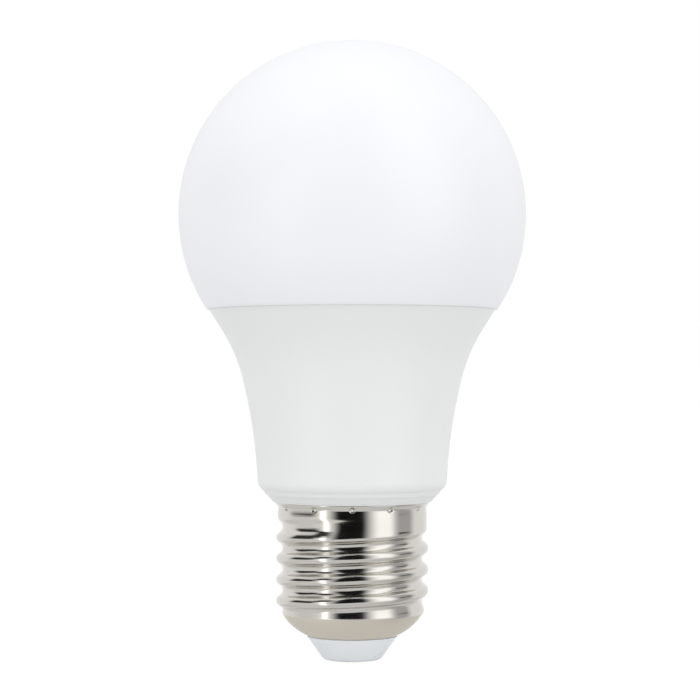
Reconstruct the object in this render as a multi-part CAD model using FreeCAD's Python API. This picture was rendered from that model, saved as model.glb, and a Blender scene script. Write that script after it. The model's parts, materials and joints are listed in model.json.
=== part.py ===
import FreeCAD, Part
import math
import os

# Globe LED lamp on a 26 mm screw cap. Millimetres, +Z up along the lamp's axis.
# The origin is the tip of the centre contact, and the light globe is on top.

# Outer form, from the globe down to the housing's lip
GLOBE_RADIUS = 30.0
SEAM_HEIGHT = 60.6
SEAM_SHARE = 0.8227
GLOBE_OVERHANG = 0.45
FOOT_RADIUS = 16.36
FOOT_RISE = 3.1
KNEE_OUT_SHARE = 0.071
KNEE_UP_SHARE = 0.332
KNEE_BLEND = (0.8, 0.63)
WAIST_OUT_SHARE = 0.43
WAIST_UP_SHARE = 0.745
WAIST_BLEND = (0.353, 0.5)
FOOT_CORNER = (0.06, 3.0)
FOOT_BLEND = 2.0
STEPS = ((1.38, 1.38), (0.74, 2.23))
STEP_LEDGE = 0.15
LIP_INSET = 2.76
LIP_GAP = 0.06

# Screw cap: knuckle thread rolled in thin sheet
THREAD_PITCH = 3.629
CREST_RADIUS = 13.15
ROOT_RADIUS = 12.06
SKIRT_RADIUS = 12.89
CAP_TOP = 27.35
FLARE_REACH = 0.45
FLARE_HEIGHT = 0.9
CAP_SHEET = 0.25
LOWEST_ROOT_HEIGHT = 10.38
SKIRT_HEIGHT = 4.27
GROOVE_RUN_OUT = 0.28
RIDGE_RUN_IN = 0.65
SHOULDER_HEIGHT = 8.3
SHOULDER_CORNER = (11.6, 7.1)
SHOULDER_HOLLOW = (10.15, 5.55)
LIP_OPENING = 7.75
LIP_LEVEL = 4.4
ROWS_PER_PITCH = 10
SKIN_COLUMNS = 30
CRIMP_COUNT = 12
CRIMP_RADIUS = 0.45
CRIMP_DEPTH = 0.35
CRIMP_DROP = 0.75

# Insulator and centre contact
CONE_RADIUS = 7.9
INSULATOR_TIP_RADIUS = 5.0
INSULATOR_TIP = 0.3
CONTACT_RADIUS = 2.4
CONTACT_HEAD = 0.7
CONTACT_SHANK = 0.95
CONTACT_LENGTH = 6.9
FLANGE_RADIUS = 8.6
FLANGE_HEIGHT = 1.5
BOSS_RADIUS = 2.6
BOSS_TOP = 8.8

# Plastic walls and the aluminium cup inside
GLOBE_WALL = 1.4
HOUSING_WALL = 1.6
MOUTH_RIM = 0.8
MOUTH_DEPTH = 1.8
GLOBE_SKIRT_WALL = 1.3
ADHESIVE_HEIGHT = 0.35
SPIGOT_BOTTOM = 13.45
SPIGOT_WALL = 1.2
COLLAR_HEIGHT = 1.85
CUP_SHEET = 1.0
CUP_DROP = 2.15
CUP_HEIGHT = 11.5
CUP_BEND = 1.5
FIT = 0.1
SLACK = 0.05

# Light board
BOARD_THICKNESS = 1.2
LIGHT_BOARD_EDGE = 2.15
CHIP_LENGTH = 3.5
CHIP_WIDTH = 2.8
CHIP_HEIGHT = 0.7
OUTER_RING_EDGE = 3.7
OUTER_RING_CHIPS = 12
INNER_RING_GAP = 5.9
INNER_RING_CHIPS = 6
SCREW_RING_GAP = 3.4
SCREW_RADIUS = 1.25
SCREW_LENGTH = 3.6
SCREW_HEAD_RADIUS = 2.2
SCREW_HEAD_HEIGHT = 1.4
PIN_PITCH = 2.54
PIN_SIDE = 0.64
SOCKET_HEIGHT = 3.0

# Driver board and its rails
DRIVER_FRONT = 1.3
DRIVER_RISE = 1.2
DRIVER_DROP = 5.5
DRIVER_NECK_HALF = 9.0
DRIVER_HALF = 12.8
SHELF_SHARE = 0.439
RAIL_SHARE = 0.791
RAIL_REACH = 1.6
RAIL_WIDTH = 1.2
LEAD_RADIUS = 0.3
LEAD_STICK_OUT = 0.8

# Driver parts: sizes, and places across the board and as a share of its height
BULK_RADIUS = 4.0
BULK_LENGTH = 11.5
BULK_PLACE = (0.0, 0.368)
OUTPUT_RADIUS = 3.15
OUTPUT_LENGTH = 9.0
OUTPUT_PLACE = (-7.2, 0.543)
CORE_WIDTH = 10.2
CORE_DEPTH = 4.8
CORE_LEG = 2.5
CORE_WINDOW = 2.6
CORE_BACK = 1.3
BOBBIN_WALL = 0.6
FLANGE_REACH = 2.0
CHOKE_PLACE = (4.9, 0.668)
FUSE_RADIUS = 1.4
FUSE_LENGTH = 6.5
FUSE_PLACE = (-5.6, 0.48)
FILM_SIZE = (7.2, 4.0, 4.6)
FILM_PLACE = (-7.4, 0.898)
BRIDGE_PLACE = (-3.6, 0.674)
DRIVER_CHIP_PLACE = (6.0, 0.903)
DIODE_PLACE = (4.9, 0.668)
CHIP_RESISTOR_PLACES = (
    (-8.6, 0.661),
    (-8.6, 0.757),
    (-3.0, 0.504),
    (4.0, 0.491),
    (6.5, 0.491),
    (9.3, 0.491),
)
CHIP_CAPACITOR_PLACES = ((-2.4, 0.924), (-7.4, 0.924), (10.0, 0.674))
SMALL_CHIP_SIZE = (1.6, 3.2, 0.55)
CERAMIC_SIZE = (1.6, 3.2, 1.1)

# Inner leads
SUPPLY_SHARE = 0.099
SUPPLY_SPREAD = 4.0
LIVE_RADIUS = 0.7
WIRE_RADIUS = 0.3
NEUTRAL_BEND = 1.8

# Sizes that follow from the ones above
AXIS = FreeCAD.Vector(0, 0, 1)
ORIGIN = FreeCAD.Vector(0, 0, 0)
SEAM_RADIUS = GLOBE_RADIUS * SEAM_SHARE
GLOBE_RIM = SEAM_RADIUS + GLOBE_OVERHANG
GLOBE_CENTRE = SEAM_HEIGHT + math.sqrt(GLOBE_RADIUS ** 2 - GLOBE_RIM ** 2)
FOOT_HEIGHT = CAP_TOP + FOOT_RISE
MOUTH_FLOOR = SEAM_HEIGHT - MOUTH_DEPTH
CAP_BORE = ROOT_RADIUS - CAP_SHEET
SPIGOT_RADIUS = CAP_BORE - FIT
SPIGOT_BORE = SPIGOT_RADIUS - SPIGOT_WALL
COLLAR_RADIUS = SKIRT_RADIUS - CAP_SHEET - SLACK
HOUSING_FLOOR = CAP_TOP + STEPS[0][1] + HOUSING_WALL
CUP_TOP = SEAM_HEIGHT - CUP_DROP
CUP_BOTTOM = CUP_TOP - CUP_HEIGHT
LIGHT_TOP = CUP_TOP + BOARD_THICKNESS
DRIVER_BACK = DRIVER_FRONT + BOARD_THICKNESS
DRIVER_BOTTOM = SPIGOT_BOTTOM + DRIVER_RISE
DRIVER_TOP = CUP_TOP - DRIVER_DROP
CRIMP_HEIGHT = CAP_TOP - CRIMP_DROP
THREAD_TURNS = (CAP_TOP - SKIRT_HEIGHT - LOWEST_ROOT_HEIGHT) / THREAD_PITCH


def point(across, up, deep=0.0):
    return FreeCAD.Vector(across, deep, up)


def corner_arc(before, corner, after, radius):
    """Start, middle and end of the arc of this radius that rounds off a corner."""
    back = FreeCAD.Vector(before - corner).normalize()
    ahead = FreeCAD.Vector(after - corner).normalize()
    half_angle = back.getAngle(ahead) / 2
    reach = radius / math.tan(half_angle)
    bisector = FreeCAD.Vector(back + ahead).normalize()
    middle = corner + bisector * (radius / math.sin(half_angle) - radius)
    return corner + back * reach, middle, corner + ahead * reach


def rounded_wire(corners, closed=True):
    """Wire through (point, radius) corners: straight runs joined by tangent arcs."""
    count = len(corners)
    edges = []
    stops = []
    for index, (corner, radius) in enumerate(corners):
        inner = closed or 0 < index < count - 1
        if inner and radius:
            before = corners[index - 1][0]
            after = corners[(index + 1) % count][0]
            stops.append(corner_arc(before, corner, after, radius))
        else:
            stops.append((corner,))
    for index, stop in enumerate(stops):
        if len(stop) == 3:
            edges.append(Part.Arc(*stop).toShape())
        if closed or index < count - 1:
            following = stops[(index + 1) % count][0]
            if stop[-1].distanceToPoint(following) > 1e-6:
                edges.append(Part.LineSegment(stop[-1], following).toShape())
    return Part.Wire(edges)


def turned(*profile):
    """Solid of revolution about the lamp's axis, from (radius, height, rounding) corners."""
    corners = []
    for radius, height, *rounding in profile:
        corners.append((point(radius, height), rounding[0] if rounding else 0))
    return Part.Face(rounded_wire(corners)).revolve(ORIGIN, AXIS, 360)


def disc(radius, bottom, top):
    return Part.makeCylinder(radius, top - bottom, point(0, bottom))


def block(size, centre):
    """Box with its size as (across, deep, up) about a centre."""
    across, deep, up = size
    corner = centre - FreeCAD.Vector(across / 2, deep / 2, up / 2)
    return Part.makeBox(across, deep, up, corner)


def around(shape, count, first=0.0):
    """Copies of a shape, evenly spaced about the lamp's axis."""
    copies = []
    for index in range(count):
        copy = shape.copy()
        copy.rotate(ORIGIN, AXIS, first + 360 * index / count)
        copies.append(copy)
    return copies


def lead(corners, radius):
    """Round wire along straight runs joined by tangent arcs."""
    path = rounded_wire(corners, closed=False)
    start = corners[0][0]
    section = Part.Wire(Part.makeCircle(radius, start, corners[1][0] - start))
    return path.makePipeShell([section], True, False)


def flare_spots():
    """Foot, knee, waist and rim of the housing's outer side, from the foot up."""
    out = SEAM_RADIUS - FOOT_RADIUS
    up = SEAM_HEIGHT - FOOT_HEIGHT
    shares = ((0, 0), (KNEE_OUT_SHARE, KNEE_UP_SHARE), (WAIST_OUT_SHARE, WAIST_UP_SHARE), (1, 1))
    return [point(FOOT_RADIUS + out * across, FOOT_HEIGHT + up * level) for across, level in shares]


def flare_blends(spots):
    """Arc radii at the knee and the waist, whose arcs keep within shares of the sides below and above."""
    blends = []
    for index, (below, above) in ((1, KNEE_BLEND), (2, WAIST_BLEND)):
        down = spots[index - 1] - spots[index]
        up = spots[index + 1] - spots[index]
        reach = min(below * down.Length, above * up.Length)
        blends.append(reach * math.tan(down.getAngle(up) / 2))
    return blends


def wall_radius(height, inset):
    """Radius of the housing's top taper at a height, moved square inward by an inset."""
    waist, rim = flare_spots()[2:]
    way = FreeCAD.Vector(rim - waist).normalize()
    return rim.x + (height - rim.z) * way.x / way.z - inset / way.z


def cavity(inset, bottom, top):
    """Solid inside the housing's flare by an inset, between two heights."""
    spots = flare_spots()
    knee_blend, waist_blend = flare_blends(spots)
    ways = [FreeCAD.Vector(above - below).normalize() for below, above in zip(spots, spots[1:])]
    sides = [FreeCAD.Vector(-way.z, 0, way.x) for way in ways]
    knee, waist = (
        spots[index] + (sides[index - 1] + sides[index]) * inset / (1 + sides[index - 1].dot(sides[index]))
        for index in (1, 2)
    )
    low = spots[0] + sides[0] * inset - ways[0] * FOOT_HEIGHT
    high = spots[3] + sides[2] * inset + ways[2] * GLOBE_RADIUS
    corners = [(point(0, low.z), 0), (low, 0), (knee, knee_blend + inset), (waist, waist_blend + inset)]
    corners += [(high, 0), (point(0, high.z), 0)]
    body = Part.Face(rounded_wire(corners)).revolve(ORIGIN, AXIS, 360)
    return body.common(disc(2 * GLOBE_RADIUS, bottom, top))


def board_level(share):
    """Height of a share of the driver board, from its bottom up."""
    return DRIVER_BOTTOM + share * (DRIVER_TOP - DRIVER_BOTTOM)


def mouth_radius():
    return wall_radius(MOUTH_FLOOR, 0) - MOUTH_RIM


def light_board_radius():
    return wall_radius(CUP_TOP, HOUSING_WALL + FIT) - LIGHT_BOARD_EDGE


def outer_ring_radius():
    return light_board_radius() - OUTER_RING_EDGE


def screw_ring_radius():
    return outer_ring_radius() - SCREW_RING_GAP


def diffuser():
    """Frosted globe with a flat rim on the housing and a short skirt that plugs into its mouth."""
    centre = point(0, GLOBE_CENTRE)
    inner_radius = GLOBE_RADIUS - GLOBE_WALL
    skirt_radius = mouth_radius() - FIT
    skirt_bottom = MOUTH_FLOOR + ADHESIVE_HEIGHT
    globe = Part.makeSphere(GLOBE_RADIUS, centre)
    globe = globe.common(disc(GLOBE_RADIUS, SEAM_HEIGHT, GLOBE_CENTRE + GLOBE_RADIUS))
    skirt = disc(skirt_radius, skirt_bottom, SEAM_HEIGHT)
    hollow = Part.makeSphere(inner_radius, centre)
    hollow = hollow.common(disc(GLOBE_RADIUS, SEAM_HEIGHT + GLOBE_WALL, GLOBE_CENTRE + GLOBE_RADIUS))
    bore = disc(skirt_radius - GLOBE_SKIRT_WALL, skirt_bottom, SEAM_HEIGHT + GLOBE_WALL)
    return globe.fuse(skirt).removeSplitter().cut(hollow.fuse(bore)).removeSplitter()


def diffuser_adhesive():
    """Bead of silicone under the globe's skirt, on the ledge of the housing's mouth."""
    outer = disc(mouth_radius() - SLACK, MOUTH_FLOOR, MOUTH_FLOOR + ADHESIVE_HEIGHT)
    bore = mouth_radius() - GLOBE_SKIRT_WALL
    return outer.cut(disc(bore, MOUTH_FLOOR, MOUTH_FLOOR + ADHESIVE_HEIGHT))


def housing_rails():
    """Two grooved rails inside the housing that hold the driver board by its edges."""
    rail_top = board_level(RAIL_SHARE)
    space = cavity(HOUSING_WALL - SLACK, HOUSING_FLOOR, rail_top)
    slot = BOARD_THICKNESS + 2 * FIT
    middle = DRIVER_FRONT + BOARD_THICKNESS / 2
    inner_edge = DRIVER_HALF - RAIL_REACH
    height = rail_top - HOUSING_FLOOR
    level = HOUSING_FLOOR + height / 2
    bars = None
    for side in (-1, 1):
        centre = FreeCAD.Vector(side * (inner_edge + FOOT_RADIUS / 2), middle, level)
        bar = block((FOOT_RADIUS, slot + 2 * RAIL_WIDTH, height), centre)
        bar = bar.common(space)
        bars = bar if bars is None else bars.fuse(bar)
    groove_half = DRIVER_HALF + FIT
    groove = block((2 * groove_half, slot, 2 * height), FreeCAD.Vector(0, middle, level))
    return bars.cut(groove)


def housing():
    """Flared plastic body with a mouth for the globe, inner rails and a spigot for the cap."""
    lip_bottom = CAP_TOP + LIP_GAP
    steps = []
    for inset, rise in STEPS:
        radius = FOOT_RADIUS - inset
        steps += [(radius - STEP_LEDGE, CAP_TOP + rise, 0.05), (radius, CAP_TOP + rise, 0.05)]
    spots = flare_spots()
    knee_blend, waist_blend = flare_blends(spots)
    body = turned(
        (0, SPIGOT_BOTTOM),
        (SPIGOT_RADIUS, SPIGOT_BOTTOM, 0.4),
        (SPIGOT_RADIUS, CAP_TOP - COLLAR_HEIGHT),
        (COLLAR_RADIUS, CAP_TOP - COLLAR_HEIGHT, 0.2),
        (COLLAR_RADIUS, lip_bottom),
        (FOOT_RADIUS - LIP_INSET, lip_bottom, 0.1),
        *steps,
        (FOOT_RADIUS - FOOT_CORNER[0], CAP_TOP + FOOT_CORNER[1], FOOT_BLEND),
        (spots[1].x, spots[1].z, knee_blend),
        (spots[2].x, spots[2].z, waist_blend),
        (SEAM_RADIUS, SEAM_HEIGHT, 0.1),
        (0, SEAM_HEIGHT),
    )
    hollow = cavity(HOUSING_WALL, HOUSING_FLOOR, MOUTH_FLOOR)
    mouth = disc(mouth_radius(), MOUTH_FLOOR, SEAM_HEIGHT)
    bore = disc(SPIGOT_BORE, SPIGOT_BOTTOM, HOUSING_FLOOR)
    body = body.cut(hollow.fuse([mouth, bore]))
    pockets = around(crimp_ball(CAP_SHEET + SLACK), CRIMP_COUNT)
    body = body.cut(pockets)
    slot_height = board_level(SUPPLY_SHARE) + 1 - SPIGOT_BOTTOM
    slot_centre = FreeCAD.Vector(SUPPLY_SPREAD, SPIGOT_RADIUS, SPIGOT_BOTTOM + slot_height / 2)
    slot = block((2 * (WIRE_RADIUS + FIT), 3 * SPIGOT_WALL, slot_height), slot_centre)
    return body.fuse(housing_rails()).cut(slot).removeSplitter()


def heat_sink_cup():
    """Drawn aluminium cup, upside down against the housing's taper, that carries the light board."""
    inset = HOUSING_WALL + FIT
    outside = cavity(inset, CUP_BOTTOM, CUP_TOP)
    level_edges = [edge for edge in outside.Edges if edge.BoundBox.ZLength < SLACK]
    top_edge = max(level_edges, key=lambda edge: edge.BoundBox.ZMax)
    outside = outside.makeFillet(CUP_BEND, [top_edge])
    inside = cavity(inset + CUP_SHEET, CUP_BOTTOM, CUP_TOP - CUP_SHEET)
    opening = cable_opening(CUP_TOP - 2 * CUP_SHEET, CUP_TOP, SLACK)
    holes = [disc(SCREW_RADIUS, CUP_TOP - 2 * CUP_SHEET, CUP_TOP)]
    holes[0].translate(FreeCAD.Vector(screw_ring_radius(), 0, 0))
    return outside.cut(inside).cut(around(holes[0], 2) + [opening])


def cable_opening(bottom, top, margin):
    """Slot through the light board and the cup for the pins that feed the light."""
    size = (2 * PIN_PITCH + 2 * margin, PIN_PITCH + 2 * margin, top - bottom)
    return block(size, point(0, (bottom + top) / 2))


def led_board():
    """Round aluminium-core board, with screw holes and a slot for the feed pins."""
    board = disc(light_board_radius(), CUP_TOP, LIGHT_TOP)
    hole = disc(SCREW_RADIUS + FIT, CUP_TOP, LIGHT_TOP)
    hole.translate(FreeCAD.Vector(screw_ring_radius(), 0, 0))
    return board.cut(around(hole, 2) + [cable_opening(CUP_TOP, LIGHT_TOP, 0)])


def led_chips():
    """Two rings of light chips: low boxes with a shallow round well on top."""
    size = (CHIP_WIDTH, CHIP_LENGTH, CHIP_HEIGHT)
    chip = block(size, point(0, LIGHT_TOP + CHIP_HEIGHT / 2))
    well = Part.makeCylinder(CHIP_WIDTH * 0.4, CHIP_HEIGHT, point(0, LIGHT_TOP + CHIP_HEIGHT * 0.8))
    chip = chip.cut(well)
    outer = chip.translated(FreeCAD.Vector(outer_ring_radius(), 0, 0))
    inner = chip.translated(FreeCAD.Vector(outer_ring_radius() - INNER_RING_GAP, 0, 0))
    outer_ring = around(outer, OUTER_RING_CHIPS, 180 / OUTER_RING_CHIPS)
    inner_ring = around(inner, INNER_RING_CHIPS, 180 / INNER_RING_CHIPS)
    return Part.makeCompound(outer_ring + inner_ring)


def board_screws():
    """Two pan head screws with a cross recess, through the light board into the cup."""
    tip = LIGHT_TOP - SCREW_LENGTH
    screw = turned(
        (0, tip),
        (SCREW_RADIUS - FIT, tip, 0.3),
        (SCREW_RADIUS - FIT, LIGHT_TOP),
        (SCREW_HEAD_RADIUS, LIGHT_TOP),
        (SCREW_HEAD_RADIUS, LIGHT_TOP + SCREW_HEAD_HEIGHT, 0.6),
        (0, LIGHT_TOP + SCREW_HEAD_HEIGHT),
    )
    level = point(0, LIGHT_TOP + SCREW_HEAD_HEIGHT)
    long = SCREW_HEAD_RADIUS * 1.1
    wide = SCREW_HEAD_RADIUS * 0.25
    cross = block((long, wide, SCREW_HEAD_HEIGHT), level)
    cross = cross.fuse(block((wide, long, SCREW_HEAD_HEIGHT), level))
    screw = screw.cut(cross)
    screw.translate(FreeCAD.Vector(screw_ring_radius(), 0, 0))
    return Part.makeCompound(around(screw, 2))


def pin_places():
    return (-PIN_PITCH / 2, PIN_PITCH / 2)


def light_socket():
    """Socket on the light board, with a hole above each feed pin."""
    size = (3 * PIN_PITCH, 1.8 * PIN_PITCH, SOCKET_HEIGHT)
    body = block(size, point(0, LIGHT_TOP + SOCKET_HEIGHT / 2))
    body = body.makeFillet(0.3, [edge for edge in body.Edges if edge.BoundBox.ZLength > 1])
    side = PIN_SIDE + FIT
    for across in pin_places():
        hole = block((side, side, SOCKET_HEIGHT), point(across, LIGHT_TOP + SOCKET_HEIGHT / 2 - 0.6))
        body = body.cut(hole)
    return body


def header_level():
    return DRIVER_TOP - PIN_PITCH


def header_block():
    """Block that holds the two feed pins at the top of the driver board."""
    depth = 2 * (DRIVER_FRONT - SLACK)
    body = block((2 * PIN_PITCH, depth, PIN_PITCH), point(0, header_level()))
    side = PIN_SIDE + FIT
    for across in pin_places():
        body = body.cut(block((side, side, 2 * PIN_PITCH), point(across, header_level())))
    return body


def header_pins():
    """Two square pins, bent into the driver board below and standing in the light socket above."""
    top = LIGHT_TOP + SOCKET_HEIGHT - 1.0
    bottom = header_level() - PIN_PITCH
    back = DRIVER_BACK + LEAD_STICK_OUT
    pins = []
    for across in pin_places():
        corners = [(point(across, top), 0), (point(across, bottom), PIN_SIDE)]
        corners.append((point(across, bottom, back), 0))
        half = PIN_SIDE / 2
        signs = ((-1, -1), (1, -1), (1, 1), (-1, 1), (-1, -1))
        section = Part.makePolygon([point(across + x * half, top, y * half) for x, y in signs])
        pins.append(rounded_wire(corners, closed=False).makePipeShell([section], True, False))
    return Part.makeCompound(pins)


def lead_holes():
    """Every place (across, up) where a part's lead goes through the driver board."""
    holes = []
    for (across, share), spread in ((BULK_PLACE, BULK_RADIUS), (OUTPUT_PLACE, OUTPUT_RADIUS)):
        holes += [(across + side * spread / 2, board_level(share)) for side in (-1, 1)]
    holes += [(across, header_level() - PIN_PITCH) for across in pin_places()]
    across, share = FUSE_PLACE
    holes += [(across + side * fuse_reach(), board_level(share)) for side in (-1, 1)]
    across, share = FILM_PLACE
    holes += [(across + side * FILM_SIZE[0] / 3, board_level(share)) for side in (-1, 1)]
    centre = choke_centre()
    holes += [(centre.x + across, centre.z + up) for across, up in choke_pin_places()]
    holes += [(side * SUPPLY_SPREAD, board_level(SUPPLY_SHARE)) for side in (-1, 1)]
    return holes


def driver_board():
    """Driver board: a narrow tail in the cap's neck and a wide part between the rails."""
    shelf = board_level(SHELF_SHARE)
    outline = [
        (-DRIVER_NECK_HALF, DRIVER_BOTTOM, 0.5),
        (DRIVER_NECK_HALF, DRIVER_BOTTOM, 0.5),
        (DRIVER_NECK_HALF, shelf, 0.5),
        (DRIVER_HALF, shelf, 0.5),
        (DRIVER_HALF, DRIVER_TOP, 0.5),
        (-DRIVER_HALF, DRIVER_TOP, 0.5),
        (-DRIVER_HALF, shelf, 0.5),
        (-DRIVER_NECK_HALF, shelf, 0.5),
    ]
    corners = [(point(across, up, DRIVER_FRONT), rounding) for across, up, rounding in outline]
    board = Part.Face(rounded_wire(corners)).extrude(FreeCAD.Vector(0, BOARD_THICKNESS, 0))
    across_board = FreeCAD.Vector(0, 1, 0)
    for across, up in lead_holes():
        start = point(across, up, DRIVER_FRONT - 1)
        board = board.cut(Part.makeCylinder(PIN_SIDE, 4 * BOARD_THICKNESS, start, across_board))
    return board


def lying_capacitor(radius, length, place, upward):
    """Round can lying on the driver board, with two leads bent through the board."""
    across, level = place[0], board_level(place[1])
    deep = DRIVER_FRONT - FIT - radius
    turn = 1.6
    end = level - turn if not upward else level + turn
    way = -1 if not upward else 1
    far = end + way * length
    bead = end + way * length * 0.15
    can = [
        (0, end),
        (radius, end, 0.4),
        (radius, bead - way * 0.5),
        (radius - 0.35, bead, 0.3),
        (radius, bead + way * 0.5),
        (radius, far, 0.6),
        (0, far),
    ]
    body = turned(*can)
    body.translate(FreeCAD.Vector(across, deep, 0))
    for side in (-1, 1):
        spot = across + side * radius / 2
        route = [(point(spot, end + way * 0.5, deep), 0), (point(spot, level, deep), 1.0)]
        route.append((point(spot, level, DRIVER_BACK + LEAD_STICK_OUT), 0))
        body = body.fuse(lead(route, LEAD_RADIUS))
    return body


def bulk_capacitor():
    return lying_capacitor(BULK_RADIUS, BULK_LENGTH, BULK_PLACE, upward=False)


def output_capacitor():
    return lying_capacitor(OUTPUT_RADIUS, OUTPUT_LENGTH, OUTPUT_PLACE, upward=True)


def choke_depth():
    """How deep the choke's middle lies in front of the driver board."""
    return DRIVER_FRONT - FIT - bobbin_half_depth() - BOBBIN_WALL


def bobbin_half_depth():
    return CORE_DEPTH / 2 + FLANGE_REACH


def window_height():
    return CORE_WIDTH - 2 * CORE_BACK


def choke_centre():
    return point(CHOKE_PLACE[0], board_level(CHOKE_PLACE[1]), choke_depth())


def choke_core():
    """Ferrite core: an outer frame with a middle leg, and a window on each side of it."""
    centre = choke_centre()
    leg_side = (CORE_WIDTH - CORE_LEG - 2 * CORE_WINDOW) / 2
    core = block((CORE_LEG + 2 * CORE_WINDOW + 2 * leg_side, CORE_DEPTH, CORE_WIDTH), centre)
    for side in (-1, 1):
        shift = FreeCAD.Vector(side * (CORE_LEG + CORE_WINDOW) / 2, 0, 0)
        core = core.cut(block((CORE_WINDOW, 2 * CORE_DEPTH, window_height()), centre + shift))
    return core


def bobbin_tube(grow):
    """Sleeve about the core's middle leg, larger all round by grow."""
    across = CORE_LEG + 2 * (FIT + grow)
    deep = CORE_DEPTH + 2 * (FIT + grow)
    return block((across, deep, window_height() - 2 * FIT), choke_centre())


def choke_pin_places():
    """Bobbin pins as (across, up) from the choke's middle."""
    half_width = CORE_LEG / 2 + CORE_WINDOW - 0.9
    half_height = window_height() / 2 - FIT - BOBBIN_WALL / 2
    return [(x * half_width, z * half_height) for x in (-1, 1) for z in (-1, 1)]


def choke_bobbin():
    """Plastic bobbin: a sleeve, two flanges, and four pins that go through the driver board."""
    centre = choke_centre()
    flange_width = CORE_LEG + 2 * CORE_WINDOW - 2 * FIT
    flange_depth = 2 * bobbin_half_depth()
    shift = window_height() / 2 - FIT - BOBBIN_WALL / 2
    body = bobbin_tube(BOBBIN_WALL)
    for side in (-1, 1):
        size = (flange_width, flange_depth, BOBBIN_WALL)
        body = body.fuse(block(size, centre + FreeCAD.Vector(0, 0, side * shift)))
    body = body.cut(bobbin_tube(0))
    edge = centre.y + bobbin_half_depth()
    for across, up in choke_pin_places():
        start = FreeCAD.Vector(centre.x + across, edge - 0.4, centre.z + up)
        length = DRIVER_BACK + LEAD_STICK_OUT - start.y
        body = body.fuse(Part.makeCylinder(LEAD_RADIUS, length, start, FreeCAD.Vector(0, 1, 0)))
    return body.removeSplitter()


def choke_winding():
    """Copper winding between the bobbin's flanges, rounded at its four corners."""
    centre = choke_centre()
    height = window_height() - 2 * (FIT + BOBBIN_WALL + SLACK)
    across = CORE_LEG + 2 * CORE_WINDOW - 4 * FIT
    deep = 2 * (bobbin_half_depth() - 0.5)
    outer = block((across, deep, height), centre)
    outer = outer.makeFillet(0.8, [edge for edge in outer.Edges if edge.BoundBox.ZLength > 1])
    inner = bobbin_tube(BOBBIN_WALL + SLACK)
    return outer.cut(inner)


def fuse_reach():
    return FUSE_LENGTH / 2 + 1.6


def fuse_resistor():
    """Fusible resistor: a round body with thicker ends, and leads bent through the driver board."""
    deep = DRIVER_FRONT - FIT - FUSE_RADIUS
    level = board_level(FUSE_PLACE[1])
    half = FUSE_LENGTH / 2
    cap = FUSE_LENGTH / 5
    body = turned(
        (0, -half),
        (FUSE_RADIUS, -half, 0.5),
        (FUSE_RADIUS, -half + cap, 0.2),
        (FUSE_RADIUS - 0.2, -half + cap + 0.2, 0.2),
        (FUSE_RADIUS - 0.2, half - cap - 0.2, 0.2),
        (FUSE_RADIUS, half - cap, 0.2),
        (FUSE_RADIUS, half, 0.5),
        (0, half),
    )
    body.rotate(ORIGIN, FreeCAD.Vector(0, 1, 0), 90)
    body.translate(point(FUSE_PLACE[0], level, deep))
    for side in (-1, 1):
        start = FUSE_PLACE[0] + side * (half - 0.5)
        bend = FUSE_PLACE[0] + side * fuse_reach()
        route = [(point(start, level, deep), 0), (point(bend, level, deep), 0.8)]
        route.append((point(bend, level, DRIVER_BACK + LEAD_STICK_OUT), 0))
        body = body.fuse(lead(route, LEAD_RADIUS))
    return body


def film_capacitor():
    """Boxed film capacitor standing on the driver board on its two leads."""
    across, deep, up = FILM_SIZE
    middle = DRIVER_FRONT - FIT - deep / 2
    level = board_level(FILM_PLACE[1])
    body = block(FILM_SIZE, point(FILM_PLACE[0], level, middle))
    body = body.makeFillet(0.4, [edge for edge in body.Edges if edge.BoundBox.YLength > 1])
    for side in (-1, 1):
        start = point(FILM_PLACE[0] + side * across / 3, level, middle + deep / 2 - 0.5)
        length = DRIVER_BACK + LEAD_STICK_OUT - start.y
        body = body.fuse(Part.makeCylinder(LEAD_RADIUS, length, start, FreeCAD.Vector(0, 1, 0)))
    return body


def leaded_package(size, lead_rows, lead_pitch, lead_width, place):
    """Moulded package on the board's back face, with bent strip leads along its two long sides."""
    across, up, high = size
    base = DRIVER_BACK
    centre = board_level(place[1])
    body = block((across, high, up), point(place[0], centre, base + 0.1 + high / 2))
    thick = 0.2
    reach = 1.0
    half = across / 2
    middle = base + 0.1 + high / 2
    outline = [
        (half - thick, middle),
        (half + reach * 0.4, middle, 0.15),
        (half + reach * 0.5, base, 0.15),
        (half + reach, base),
        (half + reach, base + thick),
        (half + reach * 0.5 + thick, base + thick, 0.1),
        (half + reach * 0.4 + thick, middle + thick, 0.3),
        (half - thick, middle + thick),
    ]
    for side in (-1, 1):
        for index in range(lead_rows):
            level = centre + (index - (lead_rows - 1) / 2) * lead_pitch - lead_width / 2
            corners = []
            for x, y, *rounding in outline:
                corners.append((point(place[0] + side * x, level, y), rounding[0] if rounding else 0))
            strip = Part.Face(rounded_wire(corners)).extrude(FreeCAD.Vector(0, 0, lead_width))
            body = body.fuse(strip)
    return body


def bridge_rectifier():
    return leaded_package((4.0, 4.7, 2.4), 2, 2.5, 0.6, BRIDGE_PLACE)


def driver_chip():
    return leaded_package((3.9, 4.9, 1.5), 4, 1.27, 0.42, DRIVER_CHIP_PLACE)


def output_diode():
    return leaded_package((4.3, 2.6, 2.1), 1, 1.0, 1.4, DIODE_PLACE)


def end_capped_chips(size, places):
    """Small chip parts on the board's back face: a body with a thicker metal cap at each end."""
    across, up, high = size
    deep = DRIVER_BACK + high / 2
    chips = []
    for place in places:
        centre = board_level(place[1])
        body = block((across - 0.1, high - 0.1, up - 0.2), point(place[0], centre, deep))
        for side in (-1, 1):
            end = centre + side * (up / 2 - 0.25)
            body = body.fuse(block((across, high, 0.5), point(place[0], end, deep)))
        chips.append(body)
    return Part.makeCompound(chips)


def chip_resistors():
    return end_capped_chips(SMALL_CHIP_SIZE, CHIP_RESISTOR_PLACES)


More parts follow.
